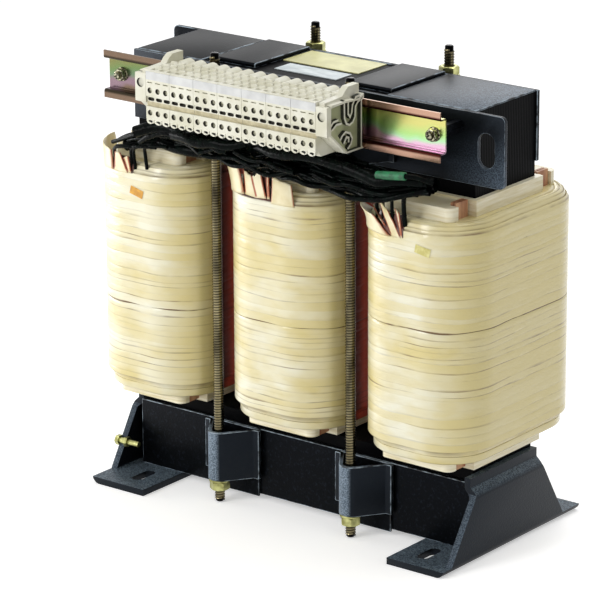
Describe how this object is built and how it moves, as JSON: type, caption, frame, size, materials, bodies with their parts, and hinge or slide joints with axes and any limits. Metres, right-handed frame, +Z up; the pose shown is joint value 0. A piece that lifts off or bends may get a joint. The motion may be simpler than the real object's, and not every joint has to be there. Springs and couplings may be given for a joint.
{
  "type": "open dry-type transformer",
  "caption": "Open dry-type transformer: laminated core, rounded taped coils side by side, clamp sheets with tie rods, terminal strip on a rail across the front and slotted bent-plate feet.",
  "frame": {"origin": "centre of the overall box on the floor plane, under the feet", "axes": "+X along the row of coils towards the right, +Y to the rear, away from the terminal strip, +Z up"},
  "size_m": [0.352, 0.201, 0.341],
  "materials": {
    "black_paint": "semi-gloss black paint with orange peel",
    "black_sleeve": "varnish-soaked black sleeving",
    "ivory_plastic": "moulded ivory",
    "label_stock": "bare printed-label stock",
    "marker_plastic": "white",
    "pressboard": "varnished pressboard",
    "varnished_tape": "cream insulating tape under clear impregnating varnish",
    "yellow_zinc_rail": "yellow passivated zinc",
    "zinc_steel": "zinc plated, slightly yellow"
  },
  "bodies": {
    "root": {"bottom_clamp_front": "black_paint", "bottom_clamp_rear": "black_paint", "bottom_hats_front": "black_paint", "bottom_hats_rear": "black_paint", "bottom_nuts": "zinc_steel", "bottom_washers": "zinc_steel", "coil_former_left": "pressboard", "coil_former_middle": "pressboard", "coil_former_right": "pressboard", "coil_left": "varnished_tape", "coil_middle": "varnished_tape", "coil_right": "varnished_tape", "core_limb_left": "black_paint", "core_limb_middle": "black_paint", "core_limb_right": "black_paint", "core_lower_yoke": "black_paint", "core_upper_yoke": "black_paint", "cross_strap_left": "black_paint", "cross_strap_right": "black_paint", "din_rail": "yellow_zinc_rail", "duct_slats": "pressboard", "earth_bolt": "zinc_steel", "end_bracket_left": "ivory_plastic", "end_bracket_right": "ivory_plastic", "foot_left": "black_paint", "foot_right": "black_paint", "hat_plates": "black_paint", "lead_loom_lower": "black_sleeve", "lead_loom_upper": "black_sleeve", "marker_strips": "marker_plastic", "rail_bolts": "zinc_steel", "rail_spacers": "black_paint", "rating_plate": "label_stock", "rating_strip": "label_stock", "terminal_blocks": "ivory_plastic", "tie_rods": "zinc_steel", "top_clamp_front": "black_paint", "top_clamp_rear": "black_paint", "top_hats_front": "black_paint", "top_hats_rear": "black_paint", "top_nuts": "zinc_steel", "top_washers": "zinc_steel", "yoke_cover_left": "black_paint", "yoke_cover_right": "black_paint"}
  },
  "joints": []
}
